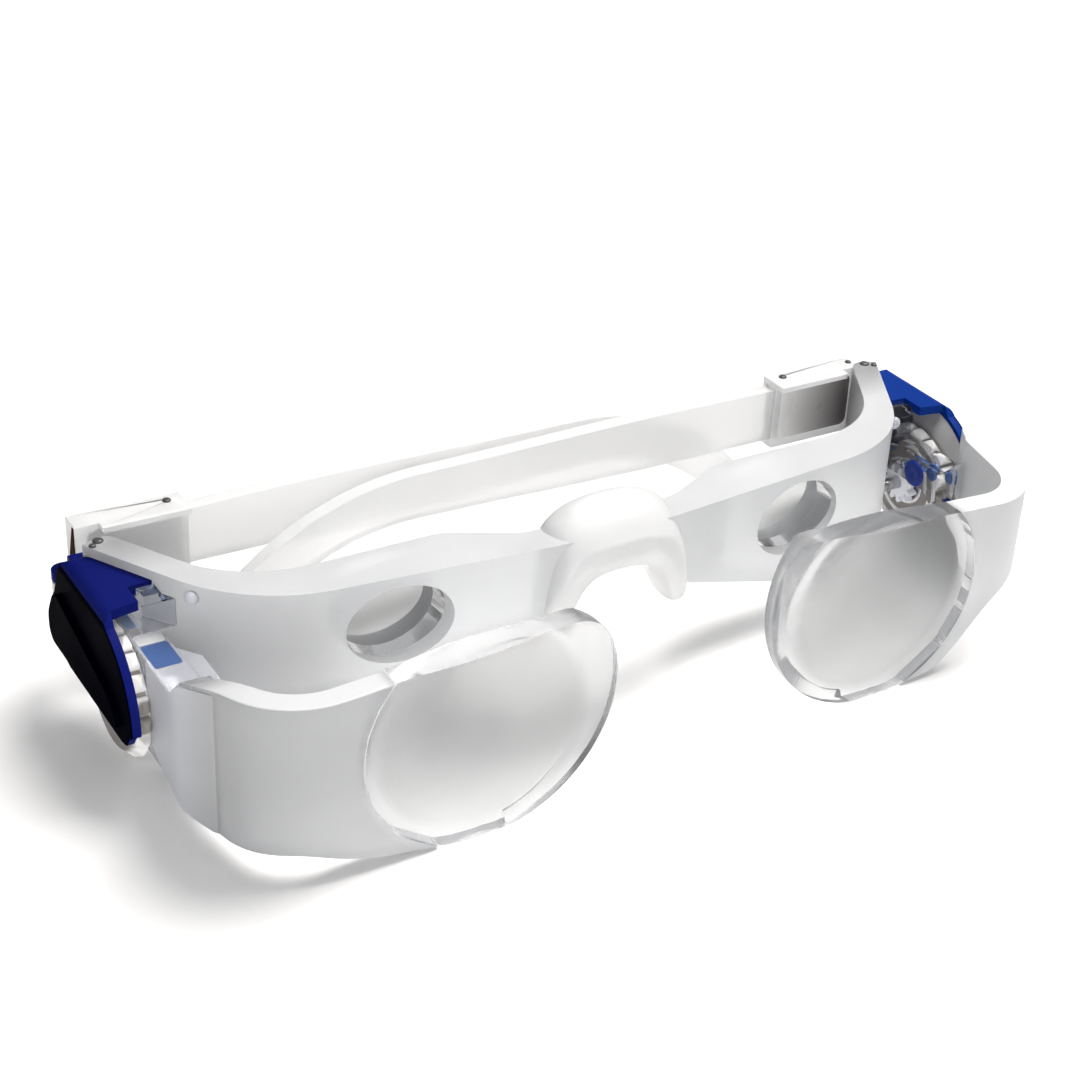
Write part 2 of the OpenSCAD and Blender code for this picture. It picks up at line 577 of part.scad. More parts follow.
// Temple bar: straight in the sleeve, tapering to the ear bend, down to a rounded tip
module temple_bar(step) color("white") translate([hinge_x, hinge_y + step, 0]) {
    mid = temple_top - sleeve_h / 2;
    start = knuckle_d / 2 + 2.4;
    slot = stop_d + 2 * run_gap;
    rise = 0.5;
    tip = bar_waist / 2 - 0.7;
    bend = acos(1 - (mid + rise - tip) / bend_r);
    line = concat([[start, mid, bar_h / 2, 0], [sleeve_l - 0.6, mid, bar_h / 2, 0]],
        [for (k = [1:6]) let (u = k / 6) [sleeve_l + (bend_start - sleeve_l) * u, mid + rise * u, bar_h / 2 + (bar_waist - bar_h) / 2 * u + 0.7 * sin(180 * u) * (1 - u), 0]],
        [for (k = [1:14]) let (a = bend * k / 14) [bend_start + bend_r * sin(a), mid + rise - bend_r * (1 - cos(a)), bar_waist / 2 + (tip - bar_waist / 2) * k / 14, a]]);
    last = line[len(line) - 1];
    difference() {
        translate([0, bar_t / 2, 0]) rotate([90, 0, 0]) linear_extrude(bar_t) mirror([1, 0, 0])
            polygon(concat([for (p = line) [p[0] + p[2] * sin(p[3]), p[1] + p[2] * cos(p[3])]],
                [for (k = [1:7]) let (a = 90 - last[3] - 180 * k / 8) [last[0], last[1]] + last[2] * [cos(a), sin(a)]],
                [for (i = [len(line) - 1:-1:0]) let (p = line[i]) [p[0] - p[2] * sin(p[3]), p[1] - p[2] * cos(p[3])]]));
        translate([-stop_x - slot / 2, -slot / 2, stop_z - run_gap]) cube([bar_travel + slot, slot, 10]);
    }
}

rear_frame();
nose_saddle();
place(true) ocular_lens();  // ocular_lens_left
place() ocular_lens();  // ocular_lens_right
place(true) objective(advance_left);  // objective_left
place() objective(advance_right);  // objective_right
place(true) objective_lens(advance_left);  // objective_lens_left
place() objective_lens(advance_right);  // objective_lens_right
place(true) rack_block(advance_left);  // rack_block_left
place() rack_block(advance_right);  // rack_block_right
place(true) guide();  // guide_left
place() guide();  // guide_right
place(true) housing();  // housing_left
place() housing();  // housing_right
place(true) side_panel();  // side_panel_left
place() side_panel();  // side_panel_right
place(true) axle();  // axle_left
place() axle();  // axle_right
place(true) focus_wheel(advance_left);  // focus_wheel_left
place() focus_wheel(advance_right);  // focus_wheel_right
place(true) wheel_hub(advance_left);  // wheel_hub_left
place() wheel_hub(advance_right);  // wheel_hub_right
place(true) hinge_block(fold_step);  // hinge_block_left
place() hinge_block(0);  // hinge_block_right
place(true) hinge_pin(fold_step);  // hinge_pin_left
place() hinge_pin(0);  // hinge_pin_right
place(true) temple_sleeve(fold_step);  // temple_sleeve_left
place() temple_sleeve(0);  // temple_sleeve_right
place(true) stop_pin(fold_step);  // stop_pin_left
place() stop_pin(0);  // stop_pin_right
place(true) temple_bar(fold_step);  // temple_bar_left
place() temple_bar(0);  // temple_bar_right
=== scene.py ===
import json
import math
from collections import namedtuple

import bpy
from mathutils import Matrix, Vector


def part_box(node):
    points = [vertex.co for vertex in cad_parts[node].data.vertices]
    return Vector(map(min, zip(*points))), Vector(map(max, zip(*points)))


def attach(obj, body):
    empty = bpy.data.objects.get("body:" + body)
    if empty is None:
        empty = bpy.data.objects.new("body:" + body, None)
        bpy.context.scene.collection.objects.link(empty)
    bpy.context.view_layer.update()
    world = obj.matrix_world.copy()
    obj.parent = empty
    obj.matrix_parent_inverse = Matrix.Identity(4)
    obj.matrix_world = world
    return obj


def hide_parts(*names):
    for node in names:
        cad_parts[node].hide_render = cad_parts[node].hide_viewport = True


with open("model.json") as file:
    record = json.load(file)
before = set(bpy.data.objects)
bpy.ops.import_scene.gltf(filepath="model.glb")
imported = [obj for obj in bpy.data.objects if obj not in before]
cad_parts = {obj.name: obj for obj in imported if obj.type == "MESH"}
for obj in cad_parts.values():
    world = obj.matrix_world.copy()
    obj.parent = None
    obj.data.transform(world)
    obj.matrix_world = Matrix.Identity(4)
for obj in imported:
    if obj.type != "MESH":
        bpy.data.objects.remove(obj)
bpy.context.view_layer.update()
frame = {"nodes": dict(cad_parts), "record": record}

# Camera fitted to the photograph: place in metres, angles in degrees, focal length in millimetres
CAMERA_AT = (-0.13867, -0.21086, 0.16472)
AZIMUTH = -31.85
ELEVATION = 29.87
ROLL = 2.79
FOCAL_LENGTH = 69.82

# Sizes from here on are in millimetres of the CAD drawing, unless a comment says metres. X runs across the
# glasses from the middle plane, Y from front to rear and Z up from the table.

# Objective lens: its axis, and how far from it the frosted arm begins
LENS_X = 32.0
LENS_Z = 15.8
LENS_ZONE = 16.45

# Arm: front and thickness of its plate, outer face and rear end, lean of the outer face, radius of the bend,
# its height at its outer end, how far each arm stands forward, and the top of the block behind it
PLATE_Y = -28.0
PLATE_T = 3.4
ARM_X = 64.4
ARM_END = -9.5
ARM_LEAN = 3.6
ARM_BEND = 12.0
ARM_TOP = 25.4
ADVANCE = {"left": 3.4, "right": 0.9}
RACK_TOP = 18.75

# Focus wheel: inner face, axis, and where its blue hub begins beside the pinion
WHEEL_X = 64.7
WHEEL_Y = 5.2
WHEEL_Z = 10.6
HUB_X = 64.34

# Housing: inner face of its outer wall, and where the black of its side begins
WALL_X = 67.3
SIDE_X = 68.4

# Frame and temples: top of the frame, hinge axes, and top and half thickness of a sleeve
FRAME_TOP = 26.0
HINGE_X = 65.4
HINGE_Y = {"left": 20.9 + 4.7, "right": 20.9}
SLEEVE_TOP = 24.6
SLEEVE_HALF = 1.8

SIGN = {"left": -1, "right": 1}

# Y of the drawing's origin in the centred model
MIDDLE = sum(corner.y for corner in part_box("axle_right")) * 500 - WHEEL_Y

# Height of the floor in metres: a hair under the part, so that no face of the part lies in it
FLOOR_Z = -0.00003

# What differs between the two arms: how steeply the upper edge falls behind the bend, how far the lower outer
# corner is lifted and how steeply it sinks, length of the tail, the Y behind which the arm is clear, two tones
Arm = namedtuple("Arm", "fall lift sink tail clear_from darker lighter")
ARMS = {
    # The two arms are copies of one plastic in different tones, as painted light and shade: the left one darker,
    # the right one paler
    "left": Arm(0.372, 0.0, 0.55, 0.0, -20.0, (0.47, 0.475, 0.485), (0.55, 0.555, 0.565)),
    "right": Arm(0.0, 6.5, 0.0, 3.4, 20.0, (0.58, 0.585, 0.595), (0.66, 0.665, 0.675)),
}

# Half of the saddle's arch, from the tip of a leg to the crown: inner point, outer point (X and Z),
# front, back, and how far the top dips in front
SADDLE = (
    ((8.9, 11.9), (11.3, 11.9), -11.2, -6.2, 0.0),
    ((8.3, 13.2), (11.8, 13.4), -12.3, -5.4, 0.0),
    ((7.4, 15.2), (11.6, 16.6), -13.0, -4.7, 0.0),
    ((6.4, 17.0), (11.2, 20.2), -13.2, -4.4, 0.02),
    ((5.2, 18.4), (10.9, 23.6), -13.2, -4.3, 0.06),
    ((3.7, 19.2), (9.6, 27.2), -13.2, -4.3, 0.12),
    ((2.2, 19.45), (6.4, 29.3), -13.25, -4.3, 0.18),
    ((0.8, 19.5), (2.4, 30.1), -13.3, -4.3, 0.2),
)

# The saddle's section: shares of the way from inner to outer point and from front to back
SECTION = (
    (0.03, 0.2), (0.0, 0.5), (0.03, 0.8), (0.2, 0.98), (0.55, 1.0), (0.86, 0.98), (1.02, 0.82),
    (0.99, 0.58), (0.97, 0.28), (0.84, 0.05), (0.55, 0.0), (0.2, 0.02),
)

# Plan of the left block's flank: X and Y
FLANK = ((59.98, ARM_END), (57.6, ARM_END + 1.6), (57.4, -0.6), (59.98, 3.0))

# The left block's outer cheek: X, Y, lower and upper edge of each station
CHEEK = (
    (62.84, -17.2, 3.7, 24.2), (63.3, -16.0, 3.4, 23.9), (63.76, -13.6, 3.0, 23.0), (64.2, -11.3, 2.7, 22.2),
    (64.54, -9.3, 2.6, 21.4), (64.55, -6.4, 3.2, 18.7), (64.55, -2.5, 4.6, 18.65), (64.55, 1.5, 6.8, 18.6),
)

# Bosses on the right block: X, Y, Z, radius and material
BOSSES = (
    (59.9, -1.7, 16.2, 2.1, "boss_blue"),
    (63.4, -2.5, 15.7, 1.1, "window_blue"),
    (63.4, -6.6, 17.0, 1.0, "window_blue"),
)

# Window plates on the blocks: their level and width, then front, rear and material of each
PANES = {
    "left": (RACK_TOP, 3.7, ((-1.0, 4.6, "window_blue"), (4.8, 7.2, "white_plastic"), (9.2, 13.4, "window_pale"))),
    "right": (15.85, 2.8, ((-0.7, 3.0, "window_blue"), (7.5, 12.1, "window_blue"))),
}

# Foot of the housing's outer wall, seen from the side: Y and Z
SKIRT = ((-5.9, 10.4), (-4.6, 8.6), (-3.2, 8.3), (16.0, 8.3), (20.4, 9.4), (21.4, 10.4))

# Width of the softened edges of the CAD nodes, in metres; a node that isn't named keeps its edges
EDGES = {
    "rear_frame": 0.0005, "nose_saddle": 0.0009, "objective": 0.0004, "housing": 0.0003, "side_panel": 0.0002,
    "focus_wheel": 0.00015, "hinge_block": 0.00025, "temple_sleeve": 0.00015, "temple_bar": 0.0005,
    "rack_block": 0.0002, "guide": 0.0002,
}

# Nodes whose material isn't the one that their slot names
REPAINTED = {
    # Painted shade: the lenses' glass is tinted grey, and the right lenses take copies in other tones than the left
    "ocular_lens_left": "ocular_shade_glass", "ocular_lens_right": "ocular_lit_glass", "objective_lens_right": "objective_shade_glass",
    "rack_block_left": "milky_plastic", "rack_block_right": "bare_block", "guide_right": "bare_block",
    # The right hinge block and housing take the paler copy of the navy plastic: painted light
    "hinge_block_left": "navy_plastic", "hinge_block_right": "navy_lit_plastic", "housing_right": "navy_lit_plastic",
}

PANEL_BLACK = ((0.0002, 0.0003, 0.0015), (0.0004, 0.0006, 0.003))

# Moulded plastics: darker and lighter tone, least and greatest roughness, depth of the grain, other values
MOULDED = {
    "smoke": ((0.42, 0.41, 0.41), (0.56, 0.55, 0.55), (0.2, 0.32), 0.05,
              {"scale": 60.0, "Transmission_Weight": 0.25}),
    # Dark brown of the wedge of painted shade at a sleeve's end
    "shade_brown": ((0.02, 0.006, 0.005), (0.035, 0.012, 0.01), (0.4, 0.5), 0.05,
               {"Specular_IOR_Level": 0.05, "IOR": 1.1}),
    "dark_steel": ((0.03, 0.03, 0.03), (0.06, 0.06, 0.06), (0.3, 0.4), 0.05, {}),
    "soft_saddle": ((0.84, 0.84, 0.84), (0.9, 0.9, 0.9), (0.4, 0.5), 0.04, {"Transmission_Weight": 0.5}),
    "milky_plastic": ((0.82, 0.84, 0.9), (0.9, 0.91, 0.96), (0.14, 0.24), 0.05,
                      {"Transmission_Weight": 0.7, "IOR": 1.3}),
    "window_blue": ((0.03, 0.065, 0.2), (0.05, 0.1, 0.26), (0.3, 0.4), 0.05, {}),
    "boss_blue": ((0.002, 0.012, 0.12), (0.006, 0.022, 0.18), (0.3, 0.4), 0.05, {"IOR": 1.3}),
    "window_pale": ((0.2, 0.27, 0.45), (0.28, 0.35, 0.52), (0.3, 0.4), 0.05, {}),
    "dark_panel": (*PANEL_BLACK, (0.4, 0.5), 0.05, {"Specular_IOR_Level": 0.02, "IOR": 1.08}),
    "white_plastic": ((0.93, 0.93, 0.93), (0.96, 0.96, 0.96), (0.3, 0.42), 0.04, {"Transmission_Weight": 0.5}),
}

# Clear plastics and glass: darker and lighter tone, least and greatest roughness, index of refraction
CLEAR = {
    # Two copies of the one ocular glass in different greys, as painted shade: the left one darker, the right one
    # paler
    "ocular_lit_glass": ((0.5, 0.505, 0.51), (0.58, 0.585, 0.59), (0.04, 0.1), 1.15),
    "ocular_shade_glass": ((0.36, 0.365, 0.37), (0.44, 0.445, 0.45), (0.04, 0.1), 1.22),
    "bare_block": ((0.86, 0.865, 0.88), (0.92, 0.925, 0.93), (0.08, 0.16), 1.08),
    "clear_plastic": ((0.88, 0.9, 0.94), (0.94, 0.95, 0.98), (0.1, 0.18), 1.2),
}


def make_camera():
    """The photograph's camera, from its place, direction and roll."""
    a, e, r = (math.radians(v) for v in (AZIMUTH, ELEVATION, ROLL))
    back = Vector((math.sin(a) * math.cos(e), -math.cos(a) * math.cos(e), math.sin(e)))
    right = Vector((math.cos(a), math.sin(a), 0))
    up = back.cross(right)
    right, up = math.cos(r) * right + math.sin(r) * up, math.cos(r) * up - math.sin(r) * right
    data = bpy.data.cameras.new("camera")
    data.lens = FOCAL_LENGTH
    data.sensor_width = 36
    data.sensor_fit = "HORIZONTAL"
    data.clip_start = 0.01
    data.clip_end = 20
    camera = bpy.data.objects.new("camera", data)
    bpy.context.scene.collection.objects.link(camera)
    turn = Matrix((right, up, back)).transposed().to_4x4()
    camera.matrix_world = Matrix.Translation(Vector(CAMERA_AT)) @ turn
    bpy.context.scene.camera = camera


# Materials

class Nodes:
    """A material's node tree, with short calls for adding and linking nodes; lengths are in metres."""

    def __init__(self, name):
        self.material = bpy.data.materials.new(name)
        self.material.use_nodes = True
        self.tree = self.material.node_tree
        self.tree.nodes.clear()
        self.shader = self.add("ShaderNodeBsdfPrincipled")
        self.output = self.add("ShaderNodeOutputMaterial")
        self.link(self.shader.outputs[0], self.output.inputs["Surface"])

    def add(self, kind, **values):
        """A new node with some of its properties set."""
        node = self.tree.nodes.new(kind)
        for key, value in values.items():
            setattr(node, key, value)
        return node

    def link(self, source, target):
        self.tree.links.new(source, target)

    def feed(self, name, source):
        """Links a source to the shader's socket of that name."""
        self.link(source, self.shader.inputs[name])

    def set(self, **values):
        """Sets the shader's own sockets; an underscore stands for a space."""
        for key, value in values.items():
            self.shader.inputs[key.replace("_", " ")].default_value = value

    def coordinate(self, kind="Object"):
        return self.add("ShaderNodeTexCoord").outputs[kind]

    def noise(self, scale, detail, stretch=None):
        """A noise fixed to the object, stretched along its axes where that is given."""
        node = self.add("ShaderNodeTexNoise")
        node.inputs["Scale"].default_value = scale
        node.inputs["Detail"].default_value = detail
        source = self.coordinate()
        if stretch:
            mapping = self.add("ShaderNodeMapping")
            mapping.inputs["Scale"].default_value = stretch
            self.link(source, mapping.inputs["Vector"])
            source = mapping.outputs[0]
        self.link(source, node.inputs["Vector"])
        return node.outputs["Fac"]

    def along(self, axis, kind="Object"):
        """X, Y or Z of a point of the surface, or of its normal."""
        node = self.add("ShaderNodeSeparateXYZ")
        self.link(self.coordinate(kind), node.inputs[0])
        return node.outputs[axis]

    def radius(self, centre, scale):
        """Distance of a point from an axis; the mirrored side is treated alike."""
        vector = self.coordinate()
        for operation, value in (("ABSOLUTE", None), ("SUBTRACT", centre), ("MULTIPLY", scale)):
            node = self.add("ShaderNodeVectorMath", operation=operation)
            self.link(vector, node.inputs[0])
            if value:
                node.inputs[1].default_value = value
            vector = node.outputs[0]
        node = self.add("ShaderNodeVectorMath", operation="LENGTH")
        self.link(vector, node.inputs[0])
        return node.outputs["Value"]

    def lens_radius(self):
        """Distance of a point from the axis of its objective lens."""
        return self.radius((LENS_X / 1000, 0, LENS_Z / 1000), (1, 0, 1))

    def combine(self, operation, *sources):
        """One or two sources put through a math node."""
        node = self.add("ShaderNodeMath", operation=operation)
        for source, socket in zip(sources, node.inputs):
            self.link(source, socket)
        return node.outputs[0]

    def from_middle(self):
        """Distance of a point from the middle plane of the glasses."""
        return self.combine("ABSOLUTE", self.along("X"))

    def spread(self, source, low, high, low_in=0.3, high_in=0.7):
        """A source brought from one range to another; most of a noise lies between 0.3 and 0.7."""
        node = self.add("ShaderNodeMapRange")
        node.inputs["From Min"].default_value = low_in
        node.inputs["From Max"].default_value = high_in
        node.inputs["To Min"].default_value = low
        node.inputs["To Max"].default_value = high
        self.link(source, node.inputs["Value"])
        return node.outputs[0]

    def tone(self, scale, detail):
        """A faint cloudy pattern from 0 to 1."""
        return self.spread(self.noise(scale, detail), 0, 1)

    def behind(self, start, end):
        """0 in front of one Y of the drawing and 1 behind another, both in millimetres."""
        return self.spread(self.along("Y"), 0, 1, (MIDDLE + start) / 1000, (MIDDLE + end) / 1000)

    def blend(self, factor, first, second):
        """A mix of two colours, each written out or from another node."""
        node = self.add("ShaderNodeMix", data_type="RGBA")
        self.link(factor, node.inputs[0])
        for socket, value in ((6, first), (7, second)):
            if isinstance(value, tuple):
                node.inputs[socket].default_value = (*value, 1)
            else:
                self.link(value, node.inputs[socket])
        return node.outputs[2]

    def gloss(self, scale, low, high):
        """Uneven roughness."""
        self.feed("Roughness", self.spread(self.noise(scale, 3), low, high))

    def bump(self, height, strength, distance):
        node = self.add("ShaderNodeBump")
        node.inputs["Strength"].default_value = strength
        node.inputs["Distance"].default_value = distance
        self.link(height, node.inputs["Height"])
        self.feed("Normal", node.outputs[0])

    def grain(self, strength, scale=3000):
        """The fine grain of a moulded surface."""
        self.bump(self.noise(scale, 2), strength, 0.00004)


def moulded(name, dark, light, rough, bump, scale=260.0, **values):
    """Moulded plastic: fine surface texture, a faint tone change and uneven gloss."""
    n = Nodes(name)
    n.feed("Base Color", n.blend(n.tone(scale * 0.16, 4), dark, light))
    n.gloss(scale * 0.5, *rough)
    n.grain(bump, scale * 12)
    n.set(**{"IOR": 1.49, **values})
    return n.material


def clear(name, dark, light, rough, ior):
    """Clear polished acrylic, a little uneven in gloss."""
    n = Nodes(name)
    n.feed("Base Color", n.blend(n.tone(60, 2), dark, light))
    n.gloss(140, *rough)
    n.set(IOR=ior, Transmission_Weight=1.0)
    return n.material


def frosted_arm(name, clear_from, darker, lighter):
    """Frosted plastic, clear towards the lens and behind a place on the arm; its top edge gets a painted highlight.
    """
    n = Nodes(name)
    rear = n.behind(clear_from, clear_from + 5)
    lens = n.spread(n.lens_radius(), 1, 0, 0.0162, 0.0174)
    # Painted highlight: faces that turn upwards are paler, for the light that falls on the top edge
    top_highlight = n.spread(n.along("Z", "Normal"), 0, 1, 0.35, 0.9)
    bare = n.combine("MAXIMUM", rear, lens)
    tone = n.tone(42, 4)
    face = n.blend(tone, darker, lighter)
    frosted = n.blend(top_highlight, face, n.blend(tone, (0.9, 0.9, 0.91), (0.95, 0.95, 0.96)))
    polished = n.blend(tone, (0.58, 0.585, 0.6), (0.64, 0.645, 0.66))
    n.feed("Base Color", n.blend(bare, frosted, polished))
    n.feed("Roughness", n.spread(bare, 0.42, 0.26, 0, 1))
    n.feed("Transmission Weight", n.spread(bare, 0.45, 0.6, 0, 1))
    n.grain(0.1)
    n.set(IOR=1.4)
    return n.material


def frosted_frame(name):
    """Frosted plastic of the frame, a little smoky and clearer towards its swept ends."""
    n = Nodes(name)
    end = n.behind(7, 15)
    tone = n.tone(38, 4)
    face = n.blend(tone, (0.68, 0.685, 0.695), (0.76, 0.765, 0.775))
    smoke = n.blend(tone, (0.5, 0.5, 0.51), (0.6, 0.6, 0.61))
    n.feed("Base Color", n.blend(end, face, smoke))
    n.feed("Roughness", n.spread(end, 0.42, 0.32, 0, 1))
    n.feed("Transmission Weight", n.spread(end, 0.45, 0.58, 0, 1))
    n.grain(0.12)
    n.set(IOR=1.45)
    return n.material


def ribbed(name):
    """White wheel: the ribs stay white, and the grooves and the faces are darker and warmer as painted shade."""
    n = Nodes(name)
    centre = (0, (MIDDLE + WHEEL_Y) / 1000, WHEEL_Z / 1000)
    # Painted shade: darker inward of the ribs, in the grooves and on the wheel's faces
    depth = n.spread(n.radius(centre, (0, 1, 1)), 0, 1, 0.0079, 0.0084)
    tone = n.tone(60, 3)
    rib = n.blend(tone, (0.84, 0.82, 0.8), (0.9, 0.89, 0.87))
    groove_shade = n.blend(tone, (0.2, 0.18, 0.165), (0.3, 0.28, 0.265))
    n.feed("Base Color", n.blend(depth, groove_shade, rib))
    n.gloss(130, 0.36, 0.5)
    n.grain(0.1)
    n.set(IOR=1.49)
    return n.material


def objective_glass(name, darker, lighter):
    """A clear lens tinted grey as painted shade: grey in the middle, with a brighter, less polished rim."""
    n = Nodes(name)
    rim = n.spread(n.lens_radius(), 0, 1, 0.0138, 0.0153)
    tone = n.tone(60, 2)
    shaded_middle = n.blend(tone, darker, lighter)
    outside = n.blend(tone, (0.56, 0.565, 0.575), (0.62, 0.625, 0.635))
    n.feed("Base Color", n.blend(rim, shaded_middle, outside))
    n.feed("Roughness", n.spread(rim, 0.04, 0.2, 0, 1))
    n.set(IOR=1.3, Transmission_Weight=1.0)
    return n.material


def skin(name):
    """Milky outside of the left block: as grey as the arm in front, paler behind."""
    n = Nodes(name)
    tone = n.tone(42, 4)
    front = n.blend(tone, (0.5, 0.505, 0.515), (0.57, 0.575, 0.585))
    rear = n.blend(tone, (0.7, 0.71, 0.75), (0.76, 0.77, 0.81))
    n.feed("Base Color", n.blend(n.behind(-19.5, -12.5), front, rear))
    n.gloss(130, 0.38, 0.46)
    n.grain(0.1)
    n.set(IOR=1.4, Transmission_Weight=0.3)
    return n.material


def housing_plastic(name, darker, lighter):
    """Blue housing; its outer side goes over into the black of the panel."""
    n = Nodes(name)
    outer = n.spread(n.from_middle(), 0, 1, SIDE_X / 1000, (SIDE_X + 0.1) / 1000)
    tone = n.tone(42, 4)
    navy = n.blend(tone, darker, lighter)
    dark = n.blend(tone, *PANEL_BLACK)
    n.feed("Base Color", n.blend(outer, navy, dark))
    n.feed("Specular IOR Level", n.spread(outer, 0.2, 0.01, 0, 1))
    n.gloss(130, 0.34, 0.44)
    n.grain(0.08)
    n.set(IOR=1.12)
    return n.material


def hub_plastic(name):
    """Blue hub; the pinion that is moulded to it is pale."""
    n = Nodes(name)
    outer = n.spread(n.from_middle(), 0, 1, HUB_X / 1000, (HUB_X + 0.08) / 1000)
    tone = n.tone(60, 3)
    blue = n.blend(tone, (0.004, 0.016, 0.17), (0.008, 0.026, 0.24))
    pale = n.blend(tone, (0.7, 0.71, 0.75), (0.78, 0.79, 0.83))
    n.feed("Base Color", n.blend(outer, pale, blue))
    n.gloss(130, 0.3, 0.42)
    n.set(IOR=1.4)
    return n.material


def smoky(name, sign):
    """Inlay of a sleeve with painted shade: dark towards the hinge and pale towards the bar."""
    n = Nodes(name)
    near = n.spread(n.along("X"), 0, 1, sign * 0.0485, sign * 0.0615)
    tone = n.tone(50, 4)
    pale = n.blend(tone, (0.78, 0.77, 0.76), (0.86, 0.85, 0.84))
    dark = n.blend(tone, (0.1, 0.09, 0.09), (0.17, 0.16, 0.155))
    n.feed("Base Color", n.blend(near, pale, dark))
    n.gloss(90, 0.24, 0.36)
    n.set(IOR=1.4)
    return n.material


def steel(name):
    """Drawn steel of the pins, with lines along them."""
    n = Nodes(name)
    lines = n.noise(900, 2, (1, 1, 0.05))
    n.feed("Base Color", n.blend(n.spread(lines, 0, 1), (0.42, 0.42, 0.44), (0.62, 0.62, 0.64)))
    n.feed("Roughness", n.spread(lines, 0.22, 0.36))
    n.bump(lines, 0.1, 0.00003)
    n.set(Metallic=1.0)
    return n.material


def make_materials():
    """Every material by its name, for the nodes' slots and for the pieces built here."""
    materials = {}
    for name, (dark, light, rough, bump, values) in MOULDED.items():
        materials[name] = moulded(name, dark, light, rough, bump, **values)
    for name, values in CLEAR.items():
        materials[name] = clear(name, *values)
    for make, name, *values in (
        (frosted_frame, "frosted_plastic"),
        (objective_glass, "clear_lens", (0.48, 0.485, 0.49), (0.55, 0.555, 0.56)),
        # The right objective lens is a darker copy of the same glass: painted shade
        (objective_glass, "objective_shade_glass", (0.36, 0.365, 0.37), (0.42, 0.425, 0.43)),
        (skin, "milky_skin"),
        (housing_plastic, "navy_plastic", (0.003, 0.006, 0.085), (0.005, 0.009, 0.11)),
        # A paler blue copy of the navy plastic for the right side: painted light
        (housing_plastic, "navy_lit_plastic", (0.003, 0.022, 0.16), (0.006, 0.03, 0.2)),
        (hub_plastic, "blue_hub"),
        (ribbed, "white_wheel"),
        (steel, "steel"),
        (smoky, "shade_inlay", SIGN["right"]),
    ):
        materials[name] = make(name, *values)
    return materials


# Softened edges

def smoothing():
    """A node group that shades smoothly across edges under 40 degrees."""
    group = bpy.data.node_groups.new("smooth_by_angle", "GeometryNodeTree")
    for way in ("INPUT", "OUTPUT"):
        group.interface.new_socket("Geometry", in_out=way, socket_type="NodeSocketGeometry")
    entry = group.nodes.new("NodeGroupInput")
    leave = group.nodes.new("NodeGroupOutput")
    smooth = group.nodes.new("GeometryNodeSetShadeSmooth")
    sharp = group.nodes.new("GeometryNodeSetShadeSmooth")
    sharp.domain = "EDGE"
    sharp.inputs["Shade Smooth"].default_value = False
    angle = group.nodes.new("GeometryNodeInputMeshEdgeAngle")
    over = group.nodes.new("FunctionNodeCompare")
    over.data_type = "FLOAT"
    over.operation = "GREATER_THAN"
    over.inputs["B"].default_value = math.radians(40)
    group.links.new(angle.outputs["Unsigned Angle"], over.inputs["A"])
    group.links.new(over.outputs["Result"], sharp.inputs["Selection"])
    group.links.new(entry.outputs[0], smooth.inputs["Geometry"])
    group.links.new(smooth.outputs[0], sharp.inputs["Geometry"])
    group.links.new(sharp.outputs[0], leave.inputs[0])
    return group


def add_bevel(obj, width, angle):
    """Rounds the edges that are sharper than an angle."""
    bevel = obj.modifiers.new("soft_edges", "BEVEL")
    bevel.width = width
    bevel.segments = 3
    bevel.limit_method = "ANGLE"
    bevel.angle_limit = math.radians(angle)
    return bevel


def soften(obj, group, width):
    """Rounds the sharp edges of a CAD node or an arm and shades its bends smoothly, by modifiers."""
    weld = obj.modifiers.new("weld", "WELD")
    weld.merge_threshold = 0.000002
    if width:
        add_bevel(obj, width, 35).miter_outer = "MITER_ARC"
    shade = obj.modifiers.new("smooth", "NODES")
    shade.node_group = group
    even = obj.modifiers.new("even_normals", "WEIGHTED_NORMAL")
    even.mode = "FACE_AREA"
    even.weight = 100
    even.keep_sharp = True


# Shapes, each a list of vertices and a list of faces, from sizes in millimetres

def spot(x, y, z):
    """A point of the drawing, in millimetres, as a point of the scene."""
    return (x / 1000, (y + MIDDLE) / 1000, z / 1000)


def tube_faces(rings, around, closed=False):
    """Faces between rings that follow each other; both ends are capped, or the last ring meets the first."""
    faces = []
    for i in range(rings if closed else rings - 1):
        here, there = i * around, (i + 1) % rings * around
        faces += [(here + k, here + (k + 1) % around, there + (k + 1) % around, there + k) for k in range(around)]
    if not closed:
        faces.append(tuple(reversed(range(around))))
        faces.append(tuple(range((rings - 1) * around, rings * around)))
    return faces


def lathe(profile, centre, axis, segments=24, closed=False):
    """A profile (radius, height) turned about an axis through centre."""
    turn = Vector(axis).to_track_quat("Z", "Y")
    vertices = []
    for radius, height in profile:
        for k in range(segments):
            a = 2 * math.pi * k / segments
            p = turn @ Vector((radius * math.cos(a), radius * math.sin(a), height))
            vertices.append(spot(*(Vector(centre) + p)))
    return vertices, tube_faces(len(profile), segments, closed)


def slab(outline, low, high, up=2):
    """An outline extruded along X, Y or Z (up 0, 1 or 2)."""
    vertices = []
    for level in (low, high):
        for a, b in outline:
            p = [a, b]
            p.insert(up, level)
            vertices.append(spot(*p))
    return vertices, tube_faces(2, len(outline))


def ribbon(stations, thickness):
    """A band that stands upright on a line of the plan: X, Y, lower and upper edge of each station."""
    vertices = []
    for x, y, low, high in stations:
        inner = x - math.copysign(thickness, x)
        vertices += [spot(x, y, low), spot(x, y, high), spot(inner, y, high), spot(inner, y, low)]
    return vertices, tube_faces(len(stations), 4)


